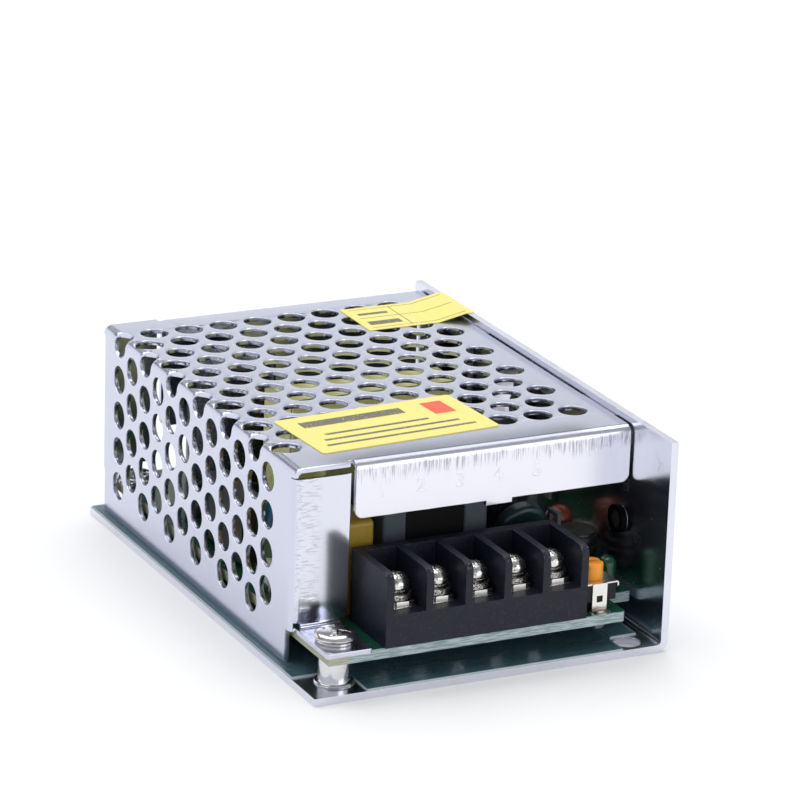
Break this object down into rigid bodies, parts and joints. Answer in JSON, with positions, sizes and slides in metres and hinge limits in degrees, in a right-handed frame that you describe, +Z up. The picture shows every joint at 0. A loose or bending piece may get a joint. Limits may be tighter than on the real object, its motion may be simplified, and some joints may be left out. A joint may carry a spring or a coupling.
{
  "type": "mesh case switching power supply",
  "caption": "Small enclosed switching power supply: folded aluminium chassis, perforated cover, circuit board and a row of screw terminals at the front.",
  "frame": {"origin": "centre of the underside of the chassis base", "axes": "+Z up, +X towards the tall right wall, +Y towards the back; the terminals face -Y"},
  "size_m": [0.058, 0.085, 0.0331],
  "materials": {
    "block_plastic": "fine textured charcoal moulding",
    "blue_disc": "dipped coating",
    "board": "dark green mask on pale glass laminate",
    "can_sleeve": "printed-free sleeve on an aluminium can",
    "chassis_metal": "bright rolled sheet",
    "copper_winding": "enamelled wire",
    "cover_metal": "satin rolled sheet",
    "ferrite": "dark ferrite",
    "film": "clear insulating film",
    "former_black": "black moulding",
    "former_plastic": "grey textured moulding",
    "fuse_glass": "glass tube with plated caps",
    "green_disc": "dipped coating",
    "label_paper": "yellow paper",
    "lamp_lens": "tinted clear lens",
    "mustard_plastic": "moulded case",
    "package_black": "moulded package",
    "pad_grey": "silicone pad",
    "pillar_steel": "turned and plated",
    "red_brown_bead": "dipped coating",
    "resistor_body": "lacquered body",
    "rotor_plastic": "orange moulding",
    "screw_nickel": "nickel plated",
    "sleeve_black": "shrink sleeve",
    "tinned_metal": "tin plated",
    "trimmer_plastic": "black moulding",
    "yellow_tape": "polyester tape"
  },
  "bodies": {
    "root": {"chassis": "chassis_metal", "cover": "cover_metal", "insulating_film": "film", "board_pillars": "pillar_steel", "board_screws": "screw_nickel", "terminal_block": "block_plastic", "terminal_plate_1": "tinned_metal", "terminal_plate_2": "tinned_metal", "terminal_plate_3": "tinned_metal", "terminal_plate_4": "tinned_metal", "terminal_plate_5": "tinned_metal", "trimmer_base": "trimmer_plastic", "trimmer_strap": "tinned_metal", "indicator_lamp": "lamp_lens", "filter_capacitor": "mustard_plastic", "filter_former": "former_plastic", "filter_core": "ferrite", "filter_winding": "copper_winding", "disc_capacitor": "blue_disc", "thermistor": "green_disc", "dipped_capacitor": "red_brown_bead", "drum_choke": "sleeve_black", "output_capacitor_1": "can_sleeve", "output_capacitor_2": "can_sleeve", "bulk_capacitor": "can_sleeve", "small_capacitor": "can_sleeve", "transformer_core": "ferrite", "transformer_tape": "yellow_tape", "transformer_former": "former_black", "transformer_winding": "yellow_tape", "rectifier": "package_black", "transistor": "package_black", "insulating_pads": "pad_grey", "wall_screws": "screw_nickel", "bridge_rectifier": "package_black", "fuse": "fuse_glass", "controller_chip": "package_black", "optocoupler": "package_black", "resistors": "resistor_body", "diodes": "package_black", "front_label": "label_paper", "rear_label": "label_paper", "circuit_board": "board"},
    "clamp_1": {"square_washer_1": "screw_nickel", "spring_washer_1": "screw_nickel"},
    "screw_1": {"terminal_screw_1": "screw_nickel"},
    "clamp_2": {"square_washer_2": "screw_nickel", "spring_washer_2": "screw_nickel"},
    "screw_2": {"terminal_screw_2": "screw_nickel"},
    "clamp_3": {"square_washer_3": "screw_nickel", "spring_washer_3": "screw_nickel"},
    "screw_3": {"terminal_screw_3": "screw_nickel"},
    "clamp_4": {"square_washer_4": "screw_nickel", "spring_washer_4": "screw_nickel"},
    "screw_4": {"terminal_screw_4": "screw_nickel"},
    "clamp_5": {"square_washer_5": "screw_nickel", "spring_washer_5": "screw_nickel"},
    "screw_5": {"terminal_screw_5": "screw_nickel"},
    "trimmer_knob": {"trimmer_rotor": "rotor_plastic"}
  },
  "joints": [
    {"name": "clamp_1_lift", "type": "slide", "parent": "root", "child": "clamp_1", "axis": [0, 0, 1], "range_m": [0, 0.002]},
    {"name": "screw_1_turn", "type": "hinge", "parent": "clamp_1", "child": "screw_1", "pos_m": [-0.01358, -0.0361, 0.0135], "axis": [0, 0, 1], "range_deg": [0, 1440]},
    {"name": "clamp_2_lift", "type": "slide", "parent": "root", "child": "clamp_2", "axis": [0, 0, 1], "range_m": [0, 0.002]},
    {"name": "screw_2_turn", "type": "hinge", "parent": "clamp_2", "child": "screw_2", "pos_m": [-0.00722, -0.0361, 0.0135], "axis": [0, 0, 1], "range_deg": [0, 1440]},
    {"name": "clamp_3_lift", "type": "slide", "parent": "root", "child": "clamp_3", "axis": [0, 0, 1], "range_m": [0, 0.002]},
    {"name": "screw_3_turn", "type": "hinge", "parent": "clamp_3", "child": "screw_3", "pos_m": [-0.00088, -0.0361, 0.0135], "axis": [0, 0, 1], "range_deg": [0, 1440]},
    {"name": "clamp_4_lift", "type": "slide", "parent": "root", "child": "clamp_4", "axis": [0, 0, 1], "range_m": [0, 0.002]},
    {"name": "screw_4_turn", "type": "hinge", "parent": "clamp_4", "child": "screw_4", "pos_m": [0.00547, -0.0361, 0.0135], "axis": [0, 0, 1], "range_deg": [0, 1440]},
    {"name": "clamp_5_lift", "type": "slide", "parent": "root", "child": "clamp_5", "axis": [0, 0, 1], "range_m": [0, 0.002]},
    {"name": "screw_5_turn", "type": "hinge", "parent": "clamp_5", "child": "screw_5", "pos_m": [0.01183, -0.0361, 0.0135], "axis": [0, 0, 1], "range_deg": [0, 1440]},
    {"name": "trimmer_turn", "type": "hinge", "parent": "root", "child": "trimmer_knob", "pos_m": [0.01867, -0.0365, 0.01115], "axis": [0, 0, 1], "range_deg": [-115, 115]}
  ],
  "couplings": [
    {"joint": "screw_1_turn", "follows": "clamp_1_lift", "rad_per_m": 12566},
    {"joint": "screw_2_turn", "follows": "clamp_2_lift", "rad_per_m": 12566},
    {"joint": "screw_3_turn", "follows": "clamp_3_lift", "rad_per_m": 12566},
    {"joint": "screw_4_turn", "follows": "clamp_4_lift", "rad_per_m": 12566},
    {"joint": "screw_5_turn", "follows": "clamp_5_lift", "rad_per_m": 12566}
  ]
}
